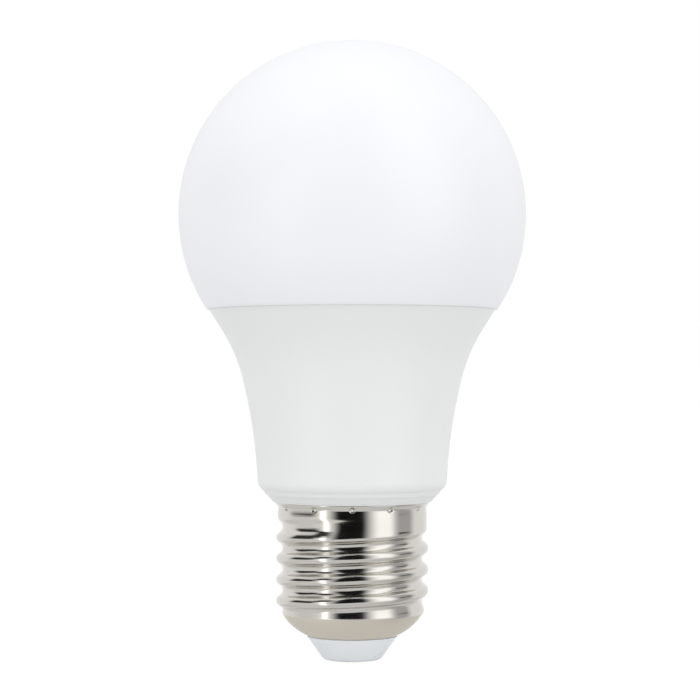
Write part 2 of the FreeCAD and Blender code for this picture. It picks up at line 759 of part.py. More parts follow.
def chip_capacitors():
    return end_capped_chips(CERAMIC_SIZE, CHIP_CAPACITOR_PLACES)


def live_lead():
    """Insulated wire from the driver board down to the centre contact, bare at both ends."""
    behind = DRIVER_BACK + 3.2
    end = CONTACT_LENGTH + SLACK
    entry = BOSS_TOP + 1.2
    low = DRIVER_BOTTOM - 1.0
    supply = board_level(SUPPLY_SHARE)
    route = [
        (point(-SUPPLY_SPREAD, supply, DRIVER_BACK + 0.4), 0),
        (point(-SUPPLY_SPREAD, supply, behind), 1.3),
        (point(-SUPPLY_SPREAD, low, behind), 1.6),
        (point(0, entry + 0.6), 1.4),
        (point(0, BOSS_TOP + SLACK), 0),
    ]
    wire = lead(route, LIVE_RADIUS)
    tail = Part.makeCylinder(WIRE_RADIUS, BOSS_TOP + 0.5 - end, point(0, end))
    start = point(-SUPPLY_SPREAD, supply, DRIVER_FRONT - 0.5)
    head = Part.makeCylinder(WIRE_RADIUS, DRIVER_BACK - DRIVER_FRONT + 1.5, start, FreeCAD.Vector(0, 1, 0))
    return wire.fuse([tail, head])


def neutral_lead():
    """Bare wire from the driver board, folded up in the spigot's slot against the cap."""
    slot_deep = math.sqrt((CAP_BORE - WIRE_RADIUS - SLACK) ** 2 - SUPPLY_SPREAD ** 2)
    behind = DRIVER_BACK + 3.2
    under = SPIGOT_BOTTOM - 1.6
    supply = board_level(SUPPLY_SHARE)
    route = [
        (point(SUPPLY_SPREAD, supply, DRIVER_FRONT - 0.5), 0),
        (point(SUPPLY_SPREAD, supply, behind), NEUTRAL_BEND),
        (point(SUPPLY_SPREAD, under, behind), NEUTRAL_BEND),
        (point(SUPPLY_SPREAD, under, slot_deep), NEUTRAL_BEND),
        (point(SUPPLY_SPREAD, supply, slot_deep), 0),
    ]
    return lead(route, WIRE_RADIUS)


def ease(share):
    """Smooth step from 0 to 1."""
    share = min(1.0, max(0.0, share))
    return share * share * (3 - 2 * share)


def groove_share(offset):
    """Depth of the knuckle groove at an offset from its root, from 1 at the root to 0 at the crest.

    Crest and root are arcs of one radius that meet in a common tangent.
    """
    depth = CREST_RADIUS - ROOT_RADIUS
    knuckle = ((THREAD_PITCH / 4) ** 2 + (depth / 2) ** 2) / depth
    offset = abs(offset)
    if offset < THREAD_PITCH / 4:
        sunk = depth - knuckle + math.sqrt(knuckle ** 2 - offset ** 2)
    else:
        sunk = knuckle - math.sqrt(knuckle ** 2 - (THREAD_PITCH / 2 - offset) ** 2)
    return sunk / depth


def cap_outline(along):
    """Neck radius, reach of the crests beyond it, and height.

    Along goes from 0 at the top edge to 1 where the shoulder begins, and on to 2 at the lip.
    """
    if along <= 1:
        height = CAP_TOP + (SHOULDER_HEIGHT - CAP_TOP) * along
        top_groove = LOWEST_ROOT_HEIGHT + THREAD_PITCH * (THREAD_TURNS - 0.5)
        share = ease((height - top_groove) / (THREAD_PITCH / 2))
        flare = FLARE_REACH * ease((height - CAP_TOP) / FLARE_HEIGHT + 1)
        reach = CREST_RADIUS + (SKIRT_RADIUS - CREST_RADIUS) * share + flare - ROOT_RADIUS
        return ROOT_RADIUS, reach, height
    share = along - 1
    rest = 1 - share
    weights = [rest ** 3, 3 * share * rest ** 2, 3 * share ** 2 * rest, share ** 3]
    lip = (LIP_OPENING, LIP_LEVEL)
    poles = [(ROOT_RADIUS, SHOULDER_HEIGHT), SHOULDER_CORNER, SHOULDER_HOLLOW, lip]
    radius = sum(weight * pole[0] for weight, pole in zip(weights, poles))
    height = sum(weight * pole[1] for weight, pole in zip(weights, poles))
    return radius, CREST_RADIUS - ROOT_RADIUS, height


def cap_profile(angle, along):
    """Outer radius and height of the cap at an angle, with the right-hand thread rolled in.

    The groove fades out a quarter turn above its last full root. The lowest ridge rises out of the neck
    over a good half turn, and dies away where it runs into the shoulder.
    """
    radius, reach, height = cap_outline(along)
    turns = (height - LOWEST_ROOT_HEIGHT) / THREAD_PITCH - angle / 360
    root = round(turns)
    groove = ease((THREAD_TURNS + GROOVE_RUN_OUT - root - angle / 360) / GROOVE_RUN_OUT)
    groove *= groove_share((turns - root) * THREAD_PITCH)
    ridge = ease((math.floor(turns) + 1 + angle / 360 + 0.25) / RIDGE_RUN_IN)
    ridge *= ease((height - SHOULDER_HEIGHT + 1.0) / 1.5)
    return radius + reach * (1 - groove) * ridge, height


def cap_point(angle, along, inset):
    """Point of the cap's skin, moved square to the outer skin by an inset."""
    radius, height = cap_profile(angle, along)
    small = 1e-4
    radius_before, height_before = cap_profile(angle, along - small)
    radius_after, height_after = cap_profile(angle, along + small)
    run = radius_after - radius_before
    rise = height_after - height_before
    length = math.hypot(run, rise)
    radius += inset * rise / length
    height -= inset * run / length
    turn = math.radians(angle)
    return FreeCAD.Vector(radius * math.cos(turn), radius * math.sin(turn), height)


def cap_skin(inset):
    """Smooth surface through the points of the cap's skin, row by row from its top edge to its lip."""
    sleeve_rows = ROWS_PER_PITCH * round((CAP_TOP - SHOULDER_HEIGHT) / THREAD_PITCH)
    shoulder_rows = sleeve_rows // 3
    rows = [row / sleeve_rows for row in range(sleeve_rows)]
    rows += [1 + row / shoulder_rows for row in range(shoulder_rows + 1)]
    seam = 180 / CRIMP_COUNT
    angles = [(seam + 360 * column / SKIN_COLUMNS) % 360 for column in range(SKIN_COLUMNS + 1)]
    surface = Part.BSplineSurface()
    surface.interpolate([[cap_point(angle, along, inset) for angle in angles] for along in rows])
    for row in range(1, surface.NbUPoles + 1):
        surface.setPole(row, surface.NbVPoles, surface.getPole(row, 1))
    return surface


def skin_half(surface, half):
    """Half of a skin, first or second, as a face, with its upper and lower round edges."""
    face = surface.toShape(0, 1, half / 2, (half + 1) / 2)
    rings = [edge for edge in face.Edges if edge.BoundBox.ZLength < CAP_SHEET]
    return face, sorted(rings, key=lambda edge: -edge.BoundBox.ZMax)


def crimp_ball(grow):
    """Ball that the crimping punch leaves in the cap's skirt, larger all round by grow."""
    ball = (CRIMP_RADIUS ** 2 + CRIMP_DEPTH ** 2) / (2 * CRIMP_DEPTH)
    return Part.makeSphere(ball + grow, point(SKIRT_RADIUS - CRIMP_DEPTH + ball, CRIMP_HEIGHT))


def screw_cap():
    """Thin metal cap: plain skirt, knuckle thread, shoulder with a turned lip, and crimped dimples."""
    outer = cap_skin(0)
    inner = cap_skin(CAP_SHEET)
    faces = []
    for half in (0, 1):
        outer_face, outer_rings = skin_half(outer, half)
        inner_face, inner_rings = skin_half(inner, half)
        faces += [outer_face, inner_face]
        faces += [Part.makeRuledSurface(*pair) for pair in zip(outer_rings, inner_rings)]
    shell = Part.makeShell(faces)
    shell.sewShape()
    cap = Part.makeSolid(Part.Shell(shell.Faces))
    if cap.Volume < 0:
        cap.reverse()
    inside = disc(SKIRT_RADIUS - CAP_SHEET / 2, LIP_LEVEL, CAP_TOP)
    boss = crimp_ball(CAP_SHEET).common(inside)
    cap = cap.fuse(around(boss, CRIMP_COUNT))
    return cap.cut(around(crimp_ball(0), CRIMP_COUNT))


def shoulder_floor(radius):
    """Height of the cap's inner skin at a radius in the shoulder, found by halving."""
    high, low = 1.0, 2.0
    while low - high > 1e-6:
        middle = (high + low) / 2
        if cap_point(0, middle, CAP_SHEET).x > radius:
            high = middle
        else:
            low = middle
    return cap_point(0, low, CAP_SHEET).z


def insulator():
    """White cone under the cap, with a flange above the cap's lip and a boss round the contact's shank."""
    lip = cap_point(0, 2, CAP_SHEET)
    neck = lip.x - SLACK
    flange_top = lip.z + FLANGE_HEIGHT
    flange_level = shoulder_floor(FLANGE_RADIUS) + SLACK
    body = turned(
        (0, INSULATOR_TIP),
        (INSULATOR_TIP_RADIUS, INSULATOR_TIP, 1.0),
        (CONE_RADIUS, LIP_LEVEL - SLACK, 0.1),
        (neck, LIP_LEVEL - SLACK),
        (neck, lip.z + 2 * SLACK),
        (FLANGE_RADIUS, flange_level),
        (FLANGE_RADIUS, flange_top, 0.4),
        (BOSS_RADIUS, flange_top, 0.5),
        (BOSS_RADIUS, BOSS_TOP, 0.3),
        (0, BOSS_TOP),
    )
    seat = disc(CONTACT_RADIUS + SLACK, 0, CONTACT_HEAD)
    bore = disc(CONTACT_SHANK + SLACK, 0, BOSS_TOP)
    return body.cut(seat.fuse(bore))


def centre_contact():
    """Nail-shaped contact: a flat rounded head below and a shank up into the insulator's boss."""
    return turned(
        (0, 0),
        (CONTACT_RADIUS, 0, 0.4),
        (CONTACT_RADIUS, CONTACT_HEAD - SLACK),
        (CONTACT_SHANK, CONTACT_HEAD - SLACK),
        (CONTACT_SHANK, CONTACT_LENGTH, 0.3),
        (0, CONTACT_LENGTH),
    )


PARTS = (
    diffuser,
    diffuser_adhesive,
    housing,
    heat_sink_cup,
    led_board,
    led_chips,
    board_screws,
    light_socket,
    header_block,
    header_pins,
    driver_board,
    bulk_capacitor,
    output_capacitor,
    choke_core,
    choke_bobbin,
    choke_winding,
    fuse_resistor,
    film_capacitor,
    bridge_rectifier,
    driver_chip,
    output_diode,
    chip_resistors,
    chip_capacitors,
    live_lead,
    neutral_lead,
    screw_cap,
    insulator,
    centre_contact,
)

os.makedirs("parts", exist_ok=True)
for make_part in PARTS:
    make_part().exportStep(f"parts/{make_part.__name__}.step")
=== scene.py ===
import json
import math

import bpy
import numpy as np
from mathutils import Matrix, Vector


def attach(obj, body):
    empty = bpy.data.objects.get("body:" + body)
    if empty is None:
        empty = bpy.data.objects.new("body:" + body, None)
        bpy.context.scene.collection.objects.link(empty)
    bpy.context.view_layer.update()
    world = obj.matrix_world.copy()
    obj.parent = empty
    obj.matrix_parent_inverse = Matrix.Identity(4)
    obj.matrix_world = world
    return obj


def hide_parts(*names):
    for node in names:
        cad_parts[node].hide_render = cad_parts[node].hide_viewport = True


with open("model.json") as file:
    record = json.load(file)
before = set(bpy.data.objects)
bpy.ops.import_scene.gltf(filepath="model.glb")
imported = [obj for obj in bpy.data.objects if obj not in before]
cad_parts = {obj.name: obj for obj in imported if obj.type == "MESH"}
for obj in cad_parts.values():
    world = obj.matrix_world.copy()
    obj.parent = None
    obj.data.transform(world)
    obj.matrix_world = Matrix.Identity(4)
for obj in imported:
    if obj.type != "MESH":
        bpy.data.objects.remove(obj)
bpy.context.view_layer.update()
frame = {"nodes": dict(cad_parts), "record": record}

# Lengths are in millimetres until a mesh is made, as in the part's source.
MM = 0.001
PICTURE_SIDE = 700

# Outer form
GLOBE_RADIUS = 30.0
GLOBE_WALL = 1.4
SEAM_HEIGHT = 60.6
SEAM_RADIUS = 24.681
GLOBE_OVERHANG = 0.45
# The globe's lower edge is broken by this width, and its sphere starts this many degrees up
EDGE_BREAK = 0.04
EDGE_TURN = 0.08
MOUTH_RADIUS = 22.77
MOUTH_FLOOR = 58.8
FLARE_SHARES = ((0, 0), (0.071, 0.332), (0.43, 0.745), (1, 1))
KNEE_BLEND = 0.8
WAIST_BLEND = 0.5
FOOT_RADIUS = 16.36
CAP_TOP = 27.35
FOOT_HEIGHT = CAP_TOP + 3.1
SPIGOT_BOTTOM = 13.45
SPIGOT_RADIUS = 11.71
SPIGOT_BORE = 10.51
COLLAR_RADIUS = 12.59
COLLAR_DROP = 1.85
HOUSING_FLOOR = CAP_TOP + 2.98
HOUSING_WALL = 1.6
LIP_INSET = 2.76
LIP_GAP = 0.06
LEDGE = 0.15
# Ledges of the lip: inset from the foot's radius, and height over the cap's top
STEPS = ((1.38, 1.38), (0.74, 2.23))
FOOT_CORNER = (0.06, 3.0)
FOOT_BLEND = 2.0
SKIRT_WALL = 1.3
SKIRT_GAP = 0.35
FIT = 0.1
SHARP = 0.06

# Screw cap
THREAD_PITCH = 3.629
CREST_RADIUS = 13.15
ROOT_RADIUS = 12.06
SKIRT_RADIUS = 12.89
CAP_SHEET = 0.25
LOWEST_ROOT = 10.38
THREAD_TURNS = 3.5
RUN_OUT = 0.28
RUN_IN = 0.65
RUN_IN_LEAD = 0.25
FADE_DROP = 1.0
FADE_HEIGHT = 1.5
RIM_FLARE = (0.45, 0.9)
RIM_FOLD = (0.07, 1.3)
SHOULDER_HEIGHT = 8.3
SHOULDER_POLES = ((12.06, 8.3), (11.6, 7.1), (10.15, 5.55), (7.75, 4.4))
LIP_LEVEL = 4.4
CRIMP_COUNT = 12
CRIMP_REACH = 0.58
CRIMP_DEPTH = 0.35
CRIMP_HEIGHT = CAP_TOP - 0.75

# Insulator and contact
CONE_RADIUS = 7.9
TIP_RADIUS = 5.0
NECK_RADIUS = 7.59
NECK_TOP = 4.73
FLANGE_RADIUS = 8.6
FLANGE_BOTTOM = 5.16
FLANGE_TOP = 6.13
BOSS_RADIUS = 2.6
BOSS_TOP = 8.8
BORE_RADIUS = 1.0
TIP_LEVEL = 0.3
SINK_RADIUS = 2.45
SINK_TOP = 0.7
HEAD_RADIUS = 2.4
HEAD_TOP = 0.65
HEAD_BLEND = 0.4
SHANK_RADIUS = 0.95
SHANK_TOP = 6.9
SHANK_BLEND = 0.3

# Columns round the lamp's axis
GLOBE_COLUMNS = 192
BODY_COLUMNS = 192
CAP_COLUMNS = 24 * CRIMP_COUNT
# Rows down the cap: the dimpled top share of the sleeve, the rest of it, and the shoulder
DIMPLED_SHARE = 0.12
DIMPLED_ROWS = 27
SLEEVE_ROWS = 132
SHOULDER_ROWS = 40


def arc(centre, radius, start, end, steps):
    """Points of an arc as (radius, height): a centre plus a radius turned from start to end, in degrees."""
    turn = np.radians(np.linspace(start, end, steps))
    return np.stack([centre[0] + radius * np.cos(turn), centre[1] + radius * np.sin(turn)], axis=1)


def run(start, end, step=0.8):
    """Points of a straight run, closer together at its ends: half a cosine wave along the run."""
    start, end = np.array(start, float), np.array(end, float)
    count = 3 + int(np.linalg.norm(end - start) / step)
    share = (1 - np.cos(np.linspace(0, np.pi, count))) / 2
    return start + (end - start) * share[:, None]


def outline(corners, step=0.8):
    """Closed profile through (radius, height, rounding) corners.

    Each corner is an arc that touches both its sides: its ends lie rounding / tan(half the corner's angle)
    from the corner, and its centre lies rounding / sin(half that angle) along the middle line. Runs join the
    arcs.
    """
    spots = np.array([corner[:2] for corner in corners], float)
    pieces, count = [], len(corners)
    for index, corner in enumerate(corners):
        rounding = corner[2] if len(corner) > 2 else SHARP
        back = spots[index - 1] - spots[index]
        ahead = spots[(index + 1) % count] - spots[index]
        back, ahead = back / np.linalg.norm(back), ahead / np.linalg.norm(ahead)
        half = math.acos(float(np.clip(back @ ahead, -1, 1))) / 2
        middle = (back + ahead) / np.linalg.norm(back + ahead)
        centre = spots[index] + middle * rounding / math.sin(half)
        first = spots[index] + back * rounding / math.tan(half) - centre
        last = spots[index] + ahead * rounding / math.tan(half) - centre
        start = math.atan2(first[1], first[0])
        turn = (math.atan2(last[1], last[0]) - start + math.pi) % (2 * math.pi) - math.pi
        steps = max(4, 2 + int(abs(turn) * rounding / step))
        pieces.append(arc(centre, rounding, math.degrees(start), math.degrees(start + turn), steps))
    joined = []
    for index, piece in enumerate(pieces):
        joined += [piece, run(piece[-1], pieces[(index + 1) % count][0], step)[1:-1]]
    return np.concatenate(joined)


def put_mesh(name, points, faces, finish, slot, nodes):
    """Object from points in millimetres and index arrays of faces, one array for each number of corners."""
    mesh = bpy.data.meshes.new(name)
    corners = np.concatenate([group.ravel() for group in faces])
    sizes = np.concatenate([np.full(len(group), group.shape[1]) for group in faces])
    mesh.vertices.add(len(points))
    mesh.vertices.foreach_set("co", (points * MM).ravel())
    mesh.loops.add(len(corners))
    mesh.loops.foreach_set("vertex_index", corners)
    mesh.polygons.add(len(sizes))
    mesh.polygons.foreach_set("loop_start", np.cumsum(sizes) - sizes)
    mesh.polygons.foreach_set("use_smooth", np.ones(len(sizes), bool))
    mesh.update(calc_edges=True)
    mesh.materials.append(finish)
    piece = bpy.data.objects.new(name, mesh)
    bpy.context.scene.collection.objects.link(piece)
    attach(piece, "root")
    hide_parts(*nodes)
    return piece


def ring_faces(rows, columns, wrap):
    """Quads of a grid. Its columns close round, and its rows do where wrap is true."""
    row = np.arange(rows if wrap else rows - 1)[:, None]
    column = np.arange(columns)[None, :]
    next_row, next_column = (row + 1) % rows, (column + 1) % columns
    corners = (row, column), (row, next_column), (next_row, next_column), (next_row, column)
    return np.stack([r * columns + c for r, c in corners], axis=-1).reshape(-1, 4)


def turned(profile, columns):
    """Points and faces of a profile turned about the axis: x = r cos(turn), y = r sin(turn), z = height.

    A profile that starts and ends on the axis gets a pole at each end. Any other one closes on itself.
    The profile runs with the material on its left, so that the faces point outwards.
    """
    poles = profile[0, 0] == 0
    rings = profile[1:-1] if poles else profile
    turn = np.linspace(0, 2 * np.pi, columns, endpoint=False)
    radius, height = rings[:, 0, None], rings[:, 1, None] + 0 * turn
    points = np.stack([radius * np.cos(turn), radius * np.sin(turn), height], axis=-1).reshape(-1, 3)
    faces = [ring_faces(len(rings), columns, not poles)]
    if poles:
        count = len(points)
        points = np.concatenate([points, [[0, 0, profile[0, 1]], [0, 0, profile[-1, 1]]]])
        column = np.arange(columns)
        beside = (column + 1) % columns
        last = count - columns
        faces.append(np.stack([np.full(columns, count), beside, column], axis=1))
        faces.append(np.stack([np.full(columns, count + 1), last + column, last + beside], axis=1))
    return points, faces


def globe_profile():
    """Profile of the globe: from its inner pole down to its skirt, and up the sphere to its outer pole."""
    rim = SEAM_RADIUS + GLOBE_OVERHANG
    centre = SEAM_HEIGHT + math.sqrt(GLOBE_RADIUS ** 2 - rim ** 2)
    inner = GLOBE_RADIUS - GLOBE_WALL
    shelf = SEAM_HEIGHT + GLOBE_WALL
    skirt, foot = MOUTH_RADIUS - FIT, MOUTH_FLOOR + SKIRT_GAP
    bore = skirt - SKIRT_WALL
    inside_rim = math.sqrt(inner ** 2 - (centre - shelf) ** 2)
    inside_angle = math.degrees(math.atan2(shelf - centre, inside_rim))
    rim_angle = math.degrees(math.atan2(SEAM_HEIGHT - centre, rim))
    hollow = arc((0, centre), inner, 90, inside_angle, 60)
    dome = arc((0, centre), GLOBE_RADIUS, rim_angle + EDGE_TURN, 90, 110)
    hollow[0, 0] = dome[-1, 0] = 0
    lower = outline_run([
        (inside_rim, shelf), (bore, shelf), (bore, foot), (skirt, foot), (skirt, SEAM_HEIGHT),
    ])
    edge = run((skirt, SEAM_HEIGHT), (rim - EDGE_BREAK, SEAM_HEIGHT))[1:]
    return np.concatenate([hollow[:-1], lower[:-1], edge, dome])


def outline_run(spots):
    """Open chain of straight runs through spots."""
    chained = [run(start, end)[:-1] for start, end in zip(spots, spots[1:])]
    return np.concatenate(chained + [np.array([spots[-1]], float)])


def flare(inset):
    """Foot, knee, waist and rim of the flared wall as (radius, height, rounding), moved inward by an inset.

    The corners are shares of the way from foot to rim. An arc's radius is its reach along its side divided by
    the tangent of half the turn there, plus the inset. A corner moves by the sum of the normals of its two
    sides, times the inset / (1 + their product).
    """
    foot, rim = np.array([FOOT_RADIUS, FOOT_HEIGHT]), np.array([SEAM_RADIUS, SEAM_HEIGHT])
    spots = foot + np.array(FLARE_SHARES) * (rim - foot)
    sides = np.diff(spots, axis=0)
    lengths = np.linalg.norm(sides, axis=1)
    ways = sides / lengths[:, None]
    normals = np.stack([-ways[:, 1], ways[:, 0]], axis=1)
    corners = [(*(spots[0] + normals[0] * inset), SHARP)]
    for index, reach in ((1, KNEE_BLEND * lengths[0]), (2, WAIST_BLEND * lengths[2])):
        product = normals[index - 1] @ normals[index]
        moved = spots[index] + (normals[index - 1] + normals[index]) * inset / (1 + product)
        corners.append((*moved, reach / math.tan(math.acos(product) / 2) + inset))
    return corners + [(*(spots[3] + normals[2] * inset), SHARP)]


def at_height(first, second, height):
    """Point at a height on the straight line through two corners."""
    share = (height - first[1]) / (second[1] - first[1])
    return first[0] + share * (second[0] - first[0]), height


def housing_profile():
    """Profile of the flared body with its stepped lip, spigot, mouth and hollow inside, counter-clockwise."""
    lip, collar = CAP_TOP + LIP_GAP, CAP_TOP - COLLAR_DROP
    outside, inside = flare(0), flare(HOUSING_WALL)
    ledges = []
    for inset, rise in STEPS:
        ledges += [(FOOT_RADIUS - inset - reach, CAP_TOP + rise, 0.05) for reach in (LEDGE, 0)]
    return outline([
        (SPIGOT_BORE, SPIGOT_BOTTOM),
        (SPIGOT_RADIUS, SPIGOT_BOTTOM, 0.4),
        (SPIGOT_RADIUS, collar),
        (COLLAR_RADIUS, collar, 0.2),
        (COLLAR_RADIUS, lip),
        (FOOT_RADIUS - LIP_INSET, lip, 0.12),
        *ledges,
        (FOOT_RADIUS - FOOT_CORNER[0], CAP_TOP + FOOT_CORNER[1], FOOT_BLEND),
        outside[1],
        outside[2],
        (SEAM_RADIUS, SEAM_HEIGHT, 0.04),
        (MOUTH_RADIUS, SEAM_HEIGHT),
        (MOUTH_RADIUS, MOUTH_FLOOR),
        at_height(inside[2], inside[3], MOUTH_FLOOR),
        inside[2],
        inside[1],
        at_height(inside[0], inside[1], HOUSING_FLOOR),
        (SPIGOT_BORE, HOUSING_FLOOR),
    ], 0.6)


def ease(share):
    """Smooth step: 3 share squared less 2 share cubed, held between 0 and 1."""
    share = np.clip(share, 0, 1)
    return share * share * (3 - 2 * share)


def groove_share(offset):
    """Knuckle groove at an offset from its root: 1 in the root and 0 on the crest.

    Root and crest are arcs of one radius, (quarter pitch squared + half depth squared) / depth, that meet
    in a common tangent a quarter pitch from the root.
    """
    depth = CREST_RADIUS - ROOT_RADIUS
    knuckle = ((THREAD_PITCH / 4) ** 2 + (depth / 2) ** 2) / depth
    offset = np.abs(offset)
    root = depth - knuckle + np.sqrt(np.maximum(knuckle ** 2 - offset ** 2, 0))
    crest = knuckle - np.sqrt(np.maximum(knuckle ** 2 - (THREAD_PITCH / 2 - offset) ** 2, 0))
    return np.where(offset < THREAD_PITCH / 4, root, crest) / depth


def cap_line(along):
    """Neck radius, reach of the crests beyond it, and height.

    Along 0 to 1 is the sleeve, whose rim flares out above a shallow fold. Along 1 to 2 is the shoulder, a
    Bezier curve: the sum of its four poles times 1, 3, 3 or 1, times rest to the power 3, 2, 1 or 0, times
    share to the power 0, 1, 2 or 3.
    """
    height = CAP_TOP + (SHOULDER_HEIGHT - CAP_TOP) * along
    top_groove = LOWEST_ROOT + THREAD_PITCH * (THREAD_TURNS - 0.5)
    outer = CREST_RADIUS + (SKIRT_RADIUS - CREST_RADIUS) * ease((height - top_groove) / (THREAD_PITCH / 2))
    below_rim = CAP_TOP - RIM_FLARE[1] - height
    outer = outer + RIM_FLARE[0] * ease(-below_rim / RIM_FLARE[1])
    outer = outer - RIM_FOLD[0] * (1 - ease(np.abs(below_rim) / RIM_FOLD[1]))
    share = np.clip(along - 1, 0, None)
    rest = 1 - share
    weights = np.stack([rest ** 3, 3 * share * rest ** 2, 3 * share ** 2 * rest, share ** 3], axis=-1)
    curve = weights @ np.array(SHOULDER_POLES)
    lower = along > 1
    radius = np.where(lower, curve[..., 0], ROOT_RADIUS)
    reach = np.where(lower, CREST_RADIUS, outer) - ROOT_RADIUS
    return radius, reach, np.where(lower, curve[..., 1], height)


def cap_skin(along, angle):
    """Outer radius and height of the cap over a grid of along by angle, in turns, with thread and dimples.

    The crests stand out of the neck by their reach, times 1 less groove_share of the height over the nearest
    turn of the helix. The groove eases out over a quarter turn above its last full turn. The lowest ridge
    eases in over a good half turn, and dies away into the shoulder.
    A dimple is its depth times (1 - (distance / reach) squared) squared.
    """
    radius, reach, height = cap_line(along)
    turns = (height - LOWEST_ROOT) / THREAD_PITCH - angle
    nearest = np.round(turns)
    groove = ease((THREAD_TURNS + RUN_OUT - nearest - angle) / RUN_OUT)
    groove = groove * groove_share((turns - nearest) * THREAD_PITCH)
    ridge = ease((np.floor(turns) + 1 + angle + RUN_IN_LEAD) / RUN_IN)
    ridge = ridge * ease((height - SHOULDER_HEIGHT + FADE_DROP) / FADE_HEIGHT)
    radius = radius + reach * (1 - groove) * ridge
    across = (angle * CRIMP_COUNT - np.round(angle * CRIMP_COUNT)) / CRIMP_COUNT * 2 * np.pi * SKIRT_RADIUS
    apart = (across ** 2 + (height - CRIMP_HEIGHT) ** 2) / CRIMP_REACH ** 2
    return radius - CRIMP_DEPTH * np.maximum(1 - apart, 0) ** 2, height


def moved_in(line, inset):
    """Skin moved square to itself by an inset: each point goes along the normal of its column's line."""
    rise_in, rise_up = np.gradient(line[0], axis=0), np.gradient(line[1], axis=0)
    length = np.hypot(rise_in, rise_up)
    return np.stack([line[0] + inset * rise_up / length, line[1] - inset * rise_in / length])


def rim_rings(first, last, before):
    """Half an ellipse between the rims of two skins: half the sheet wide, with a bulge of a fifth of it."""
    middle, half = (first + last) / 2, (first - last) / 2
    outward = first - before
    outward = outward / np.linalg.norm(outward, axis=0) * CAP_SHEET / 5
    turn = np.radians(np.array([30.0, 65.0, 90.0, 115.0, 150.0]))[:, None]
    return middle[:, None] + half[:, None] * np.cos(turn) + outward[:, None] * np.sin(turn)


def cap_grid():
    """Rings of the cap: its inner skin, the top rim, its outer skin and the lip, closest at the dimples.

    In the sector of one dimple, from -1 to 1, a column lies at 0.4 of its even share plus 0.6 of its cube.
    """
    sector = np.linspace(-1, 1, CAP_COLUMNS // CRIMP_COUNT, endpoint=False)
    sector = (0.4 * sector + 0.6 * sector ** 3) / (2 * CRIMP_COUNT)
    angle = (sector + np.arange(CRIMP_COUNT)[:, None] / CRIMP_COUNT).ravel() % 1.0
    along = np.concatenate([
        np.linspace(0, DIMPLED_SHARE, DIMPLED_ROWS)[:-1],
        np.linspace(DIMPLED_SHARE, 1, SLEEVE_ROWS)[:-1],
        np.linspace(1, 2, SHOULDER_ROWS),
    ])
    outer = np.stack(cap_skin(along[:, None] + 0 * angle, angle))
    inner = moved_in(outer, CAP_SHEET)[:, ::-2]
    lip = rim_rings(outer[:, -1], inner[:, 0], outer[:, -2])
    top = rim_rings(inner[:, -1], outer[:, 0], inner[:, -2])
    radius, height = np.concatenate([outer, lip, inner, top], axis=1)
    turn = 2 * np.pi * angle
    points = np.stack([radius * np.cos(turn), radius * np.sin(turn), height], axis=-1)
    return points[::-1].reshape(-1, 3), [ring_faces(len(radius), len(angle), True)]


def insulator_profile():
    """Profile of the insulating cone with its neck in the lip, flange, boss and bore."""
    return outline([
        (BORE_RADIUS, SINK_TOP),
        (SINK_RADIUS, SINK_TOP),
        (SINK_RADIUS, TIP_LEVEL, 0.1),
        (TIP_RADIUS, TIP_LEVEL, 1.0),
        (CONE_RADIUS, LIP_LEVEL - FIT / 2, 0.1),
        (NECK_RADIUS, LIP_LEVEL - FIT / 2),
        (NECK_RADIUS, NECK_TOP),
        (FLANGE_RADIUS, FLANGE_BOTTOM),
        (FLANGE_RADIUS, FLANGE_TOP, 0.4),
        (BOSS_RADIUS, FLANGE_TOP, 0.5),
        (BOSS_RADIUS, BOSS_TOP, 0.3),
        (BORE_RADIUS, BOSS_TOP),
    ], 0.4)


def contact_profile():
    """Profile of the nail-shaped contact, from the axis below to the axis above."""
    head_centre = (HEAD_RADIUS - HEAD_BLEND, HEAD_BLEND)
    tip_centre = (SHANK_RADIUS - SHANK_BLEND, SHANK_TOP - SHANK_BLEND)
    lower = np.concatenate([run((0, 0), (head_centre[0], 0)), arc(head_centre, HEAD_BLEND, -90, 0, 8)[1:]])
    middle = outline_run([
        (HEAD_RADIUS, HEAD_BLEND),
        (HEAD_RADIUS, HEAD_TOP),
        (SHANK_RADIUS, HEAD_TOP),
        (SHANK_RADIUS, tip_centre[1]),
    ])[1:]
    tip = run((tip_centre[0], SHANK_TOP), (0, SHANK_TOP))[1:]
    upper = np.concatenate([arc(tip_centre, SHANK_BLEND, 0, 90, 6)[1:], tip])
    return np.concatenate([lower, middle, upper])


class Value:
    """An output in a node tree. Arithmetic on it adds Math nodes."""

    def __init__(self, nodes, socket):
        self.nodes, self.socket = nodes, socket

    def maths(self, operation, *others):
        values = dict(enumerate((self,) + others))
        return self.nodes.add("ShaderNodeMath", {"operation": operation}, values)

    def __add__(self, other):
        return self.maths("ADD", other)

    def __sub__(self, other):
        return self.maths("SUBTRACT", other)

    def __rsub__(self, other):
        return self.nodes.add("ShaderNodeMath", {"operation": "SUBTRACT"}, {0: other, 1: self})

    def __mul__(self, other):
        return self.maths("MULTIPLY", other)

    def __abs__(self):
        return self.maths("ABSOLUTE")

    __radd__, __rmul__ = __add__, __mul__


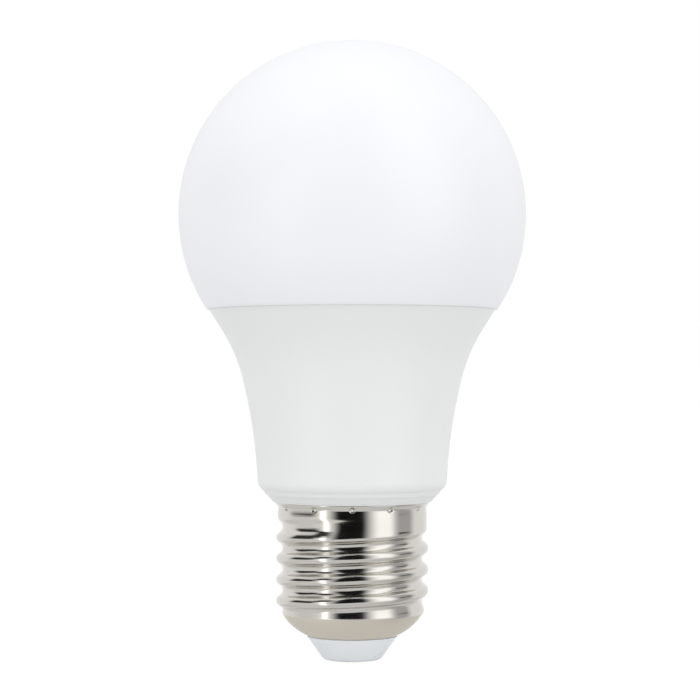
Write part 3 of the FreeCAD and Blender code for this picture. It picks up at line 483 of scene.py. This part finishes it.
class Nodes:
    """A node tree that is filled by one method."""

    def __init__(self, tree):
        self.tree = tree
        tree.nodes.clear()

    def add(self, kind, settings=None, values=None, output=0):
        node = self.tree.nodes.new(kind)
        for name, setting in (settings or {}).items():
            setattr(node, name, setting)
        for name, value in (values or {}).items():
            if isinstance(value, Value):
                self.tree.links.new(value.socket, node.inputs[name])
            else:
                node.inputs[name].default_value = value
        return Value(self, node.outputs[output]) if node.outputs else None

    def mix(self, factor, first, second):
        """Colour that goes from the first to the second, each a tuple or another output."""
        values = {"Factor": factor}
        for socket, colour in ((6, first), (7, second)):
            values[socket] = colour if isinstance(colour, Value) else (*colour, 1.0)
        return self.add("ShaderNodeMix", {"data_type": "RGBA"}, values, output=2)

    def window(self, value, centre, half, soft):
        """1 where a value is within half of a centre, easing to 0 over soft on both sides of that edge."""
        return self.ramp(abs(value - centre), half + soft, half - soft)

    def ramp(self, value, start, end):
        """Smooth step from 0 where a value is start to 1 where it is end."""
        inputs = {"Value": value, 1: start, 2: end, 3: 0.0, 4: 1.0}
        return self.add("ShaderNodeMapRange", {"interpolation_type": "SMOOTHSTEP"}, inputs)

    def bump(self, height, strength):
        values = {"Height": height, "Strength": strength, "Distance": BUMP_DEPTH}
        return self.add("ShaderNodeBump", None, values)

    def part(self, vector, axis):
        return self.add("ShaderNodeSeparateXYZ", None, {0: vector}, output=axis)

    def seen_by(self, kind):
        """1 for rays of a kind, such as Is Camera Ray, and else 0."""
        return self.add("ShaderNodeLightPath", output=kind)


# Finishes: noise scales for each metre, bump depth in metres, and heights between bright and satin nickel
FINE_GRAIN = 900.0
BROAD_GRAIN = 60.0
MARK_SCALE = (60.0, 60.0, 4200.0)
CLOUD_SCALE = 220.0
BUMP_DEPTH = 0.0001
SATIN_HEIGHTS = (8.7, 7.9)


def new_finish(name):
    finish = bpy.data.materials.new(name)
    finish.use_nodes = True
    return finish, Nodes(finish.node_tree)


def shaded(name, colour, roughness, metallic=0.0, grain=0.0, tint=0.03, wear=0.05):
    """Finish with fine procedural grain: noise shifts the colour, the roughness and the bump a little."""
    finish, nodes = new_finish(name)
    place = nodes.add("ShaderNodeTexCoord", output="Object")
    fine = nodes.add("ShaderNodeTexNoise", None, {"Vector": place, "Scale": FINE_GRAIN, "Detail": 4.0})
    broad = nodes.add("ShaderNodeTexNoise", None, {"Vector": place, "Scale": BROAD_GRAIN, "Detail": 2.0})
    values = {
        "Base Color": nodes.mix(broad, tuple(part * (1 - tint) for part in colour), colour),
        "Roughness": roughness + wear * (fine - 0.5) + wear * (broad - 0.5),
        "Metallic": metallic,
    }
    if grain:
        values["Normal"] = nodes.bump(fine, grain)
    shader = nodes.add("ShaderNodeBsdfPrincipled", None, values)
    nodes.add("ShaderNodeOutputMaterial", None, {"Surface": shader})
    return finish


def nickel(name):
    """Bright nickel plate that turns satin below the thread, with fine rolling marks round the axis."""
    finish, nodes = new_finish(name)
    place = nodes.add("ShaderNodeTexCoord", output="Object")
    height = nodes.part(place, "Z") * (1 / MM)
    stretched = nodes.add("ShaderNodeMapping", None, {"Vector": place, "Scale": MARK_SCALE})
    marks = nodes.add("ShaderNodeTexNoise", None, {"Vector": stretched, "Scale": 1.0, "Detail": 3.0})
    cloud = nodes.add("ShaderNodeTexNoise", None, {"Vector": place, "Scale": CLOUD_SCALE, "Detail": 4.0})
    frosted = nodes.ramp(height, *SATIN_HEIGHTS)
    bright = nodes.mix(cloud, (0.62, 0.60, 0.56), (0.70, 0.68, 0.64))
    base = nodes.mix(frosted, bright, (0.735, 0.685, 0.60))
    roughness = 0.07 + 0.05 * cloud + 0.04 * marks + 0.33 * frosted
    bump = nodes.bump(marks + cloud * 0.6, 0.10)
    values = {"Base Color": base, "Roughness": roughness, "Metallic": 1.0, "Normal": bump}
    shader = nodes.add("ShaderNodeBsdfPrincipled", None, values)
    nodes.add("ShaderNodeOutputMaterial", None, {"Surface": shader})
    return finish


SLOT_FINISHES = {
    "frosted_cover": shaded("frosted_cover", (0.905, 0.91, 0.94), 0.36, grain=0.04, tint=0.01, wear=0.03),
    "silicone": shaded("silicone", (0.80, 0.80, 0.77), 0.6),
    "white_body": shaded("white_body", (0.845, 0.86, 0.852), 0.38, grain=0.06, tint=0.015, wear=0.05),
    "aluminium_sheet": shaded("aluminium_sheet", (0.72, 0.73, 0.74), 0.32, 1.0, grain=0.1),
    "white_board": shaded("white_board", (0.82, 0.82, 0.79), 0.4, grain=0.05),
    "light_chip": shaded("light_chip", (0.88, 0.72, 0.22), 0.25, grain=0.05),
    "steel": shaded("steel", (0.62, 0.62, 0.64), 0.25, 1.0, grain=0.1),
    "white_nylon": shaded("white_nylon", (0.78, 0.78, 0.73), 0.45, grain=0.1),
    "black_nylon": shaded("black_nylon", (0.02, 0.02, 0.022), 0.45, grain=0.15),
    "tinned_brass": shaded("tinned_brass", (0.72, 0.70, 0.62), 0.28, 1.0, grain=0.1),
    "board_green": shaded("board_green", (0.03, 0.16, 0.06), 0.3, grain=0.15, tint=0.15),
    "capacitor_sleeve": shaded("capacitor_sleeve", (0.02, 0.025, 0.05), 0.22, grain=0.05),
    "ferrite": shaded("ferrite", (0.05, 0.05, 0.055), 0.7, grain=0.4, tint=0.2),
    "enamelled_copper": shaded("enamelled_copper", (0.55, 0.20, 0.06), 0.3, 0.8, grain=0.3, tint=0.2),
    "resistor_coat": shaded("resistor_coat", (0.16, 0.34, 0.27), 0.3, grain=0.1),
    "capacitor_box": shaded("capacitor_box", (0.62, 0.42, 0.05), 0.22, grain=0.05),
    "chip_body": shaded("chip_body", (0.025, 0.025, 0.027), 0.5, grain=0.2),
    "ceramic": shaded("ceramic", (0.42, 0.30, 0.18), 0.5, grain=0.15),
    "wire_sleeve": shaded("wire_sleeve", (0.72, 0.72, 0.70), 0.42),
    "tinned_copper": shaded("tinned_copper", (0.70, 0.68, 0.64), 0.28, 1.0, grain=0.1),
    "nickel_plate": nickel("nickel_plate"),
    "insulator_white": shaded("insulator_white", (0.91, 0.95, 0.985), 0.2, grain=0.03, tint=0.03),
    "contact_metal": shaded("contact_metal", (0.70, 0.68, 0.63), 0.25, 1.0, grain=0.1),
}

for part in frame["record"]["subparts"]:
    node = frame["nodes"][part["node"]]
    node.data.materials.clear()
    node.data.materials.append(SLOT_FINISHES[part["material_slot"]])

for name, shape, slot, node in (
    ("frosted_globe", turned(globe_profile(), GLOBE_COLUMNS), "frosted_cover", "diffuser"),
    ("flared_body", turned(housing_profile(), BODY_COLUMNS), "white_body", "housing"),
    ("threaded_cap", cap_grid(), "nickel_plate", "screw_cap"),
    ("insulating_cone", turned(insulator_profile(), BODY_COLUMNS // 2), "insulator_white", "insulator"),
    ("contact_nail", turned(contact_profile(), BODY_COLUMNS // 3), "contact_metal", "centre_contact"),
):
    put_mesh(name, *shape, SLOT_FINISHES[slot], slot, [node])


# Studio: azimuth 0 is behind the camera and grows to the camera's right, in degrees
STUDIO_LEVEL = 0.96
# Shares of x, y and z, and the constant
SOFT_LIGHT = (0.03, -0.38, 0.22, 0.855)
WHITE = (1.0, 1.0, 1.0, 1.0)
FLOOR_SIDE = 3.0
FLOOR_GREY = 0.82
FLOOR_WHITE = 1.06
SHADOW_SHARE = 0.1
CARDS = (
    # azimuth, half width, softness, elevation, half height, softness, level
    (0, 200, 1, -60, 38, 8, 0.74),
    (-85, 24, 16, 0, 60, 20, 0.80),
    (-84, 24, 8, 16, 14, 4, 0.03),
    (88, 17, 9, 0, 50, 20, 0.48),
    (88, 12, 4, 10, 5, 3, 0.05),
    (50, 14, 7, 30, 42, 10, 1.45),
    (-52, 16, 9, 34, 16, 5, 0.03),
    (-45.5, 5, 3, -10, 30, 6, 1.9),
    (-3, 27, 10, 32, 46, 4, 0.004),
)


def studio():
    """World light: white to the camera, soft on matt surfaces, and in gloss a pale room with its cards.

    The soft light is the sum of its direction's x, y and z, each times a share, and a constant.
    """
    world = bpy.data.worlds.new("studio")
    bpy.context.scene.world = world
    world.use_nodes = True
    nodes = Nodes(world.node_tree)
    direction = nodes.add("ShaderNodeTexCoord", output="Generated")
    x, y, z = (nodes.part(direction, axis) for axis in "XYZ")
    azimuth = nodes.add("ShaderNodeMath", {"operation": "ARCTAN2"}, {0: x, 1: 0 - y}) * (180 / math.pi)
    elevation = nodes.add("ShaderNodeMath", {"operation": "ARCSINE"}, {0: z}) * (180 / math.pi)
    level = STUDIO_LEVEL
    for turn, half, soft, rise, tall, fade, strength in CARDS:
        mask = nodes.window(azimuth, turn, half, soft) * nodes.window(elevation, rise, tall, fade)
        level = level + mask * (strength - level)
    soft_level = SOFT_LIGHT[0] * x + SOFT_LIGHT[1] * y + SOFT_LIGHT[2] * z + SOFT_LIGHT[3]
    level = soft_level + nodes.seen_by("Is Glossy Ray") * (level - soft_level)
    level = level + nodes.seen_by("Is Camera Ray") * (1 - level)
    light = nodes.add("ShaderNodeBackground", None, {"Color": WHITE, "Strength": level})
    nodes.add("ShaderNodeOutputWorld", None, {"Surface": light})


def floor_finish():
    """Floor: white with a faint shadow to the camera, matt in bounced light and clear in reflections."""
    finish, nodes = new_finish("pale_floor")
    seen, glossy = nodes.seen_by("Is Camera Ray"), nodes.seen_by("Is Glossy Ray")
    through = nodes.seen_by("Is Transmission Ray")
    matt = nodes.add("ShaderNodeBsdfDiffuse", None, {"Color": (FLOOR_GREY, FLOOR_GREY, FLOOR_GREY, 1.0)})
    white = nodes.add("ShaderNodeEmission", None, {"Color": WHITE, "Strength": FLOOR_WHITE})
    clear = nodes.add("ShaderNodeBsdfTransparent", None, {"Color": WHITE})
    mixed = nodes.add("ShaderNodeMixShader", None, {0: seen * (1 - SHADOW_SHARE), 1: matt, 2: white})
    reflected = (glossy + through).maths("MINIMUM", 1.0)
    mixed = nodes.add("ShaderNodeMixShader", None, {0: reflected, 1: mixed, 2: clear})
    nodes.add("ShaderNodeOutputMaterial", None, {"Surface": mixed})
    return finish


def add_floor():
    mesh = bpy.data.meshes.new("floor")
    corners = [(x * FLOOR_SIDE, y * FLOOR_SIDE, 0) for x, y in ((-1, -1), (1, -1), (1, 1), (-1, 1))]
    mesh.from_pydata(corners, [], [(0, 1, 2, 3)])
    mesh.materials.append(floor_finish())
    floor = bpy.data.objects.new("floor", mesh)
    bpy.context.scene.collection.objects.link(floor)


def add_soft_box(name, place, target, size, level):
    """Lamp that faces a target. Its power is level times pi times its area, so level is its brightness."""
    lamp = bpy.data.lights.new(name, "AREA")
    lamp.shape = "RECTANGLE"
    lamp.size, lamp.size_y = size
    lamp.energy = level * math.pi * size[0] * size[1]
    box = bpy.data.objects.new(name, lamp)
    box.location = place
    aim = Vector(target) - Vector(place)
    box.rotation_euler = aim.to_track_quat("-Z", "Y").to_euler()
    bpy.context.scene.collection.objects.link(box)


# Camera: the photograph's scale, distance and eye height, in pixels and pixels for each millimetre
PIXELS_PER_MM = 5.78
EYE_DISTANCE = 2140.0
EYE_ROW = 380.0
TIP_ROW = 659.8
AXIS_COLUMN = 352.2


def add_camera():
    middle = PICTURE_SIDE / 2
    lens = bpy.data.cameras.new("camera")
    lens.sensor_width = 36.0
    lens.lens = lens.sensor_width * EYE_DISTANCE / PICTURE_SIDE
    lens.clip_start, lens.clip_end = 0.01, 20.0
    camera = bpy.data.objects.new("camera", lens)
    across = -(AXIS_COLUMN - middle) / PIXELS_PER_MM * MM
    eye = Vector((across, -EYE_DISTANCE / PIXELS_PER_MM * MM, (TIP_ROW - EYE_ROW) / PIXELS_PER_MM * MM))
    target = Vector((across, 0, (TIP_ROW - middle) / PIXELS_PER_MM * MM))
    camera.location = eye
    camera.rotation_euler = (target - eye).to_track_quat("-Z", "Y").to_euler()
    bpy.context.scene.collection.objects.link(camera)
    bpy.context.scene.camera = camera


studio()
add_floor()
add_soft_box("overhead_box", (0.0, -0.18, 0.75), (0.0, 0.0, 0.05), (0.4, 0.12), 0.3)
add_camera()
bpy.context.scene.view_settings.view_transform = "Standard"
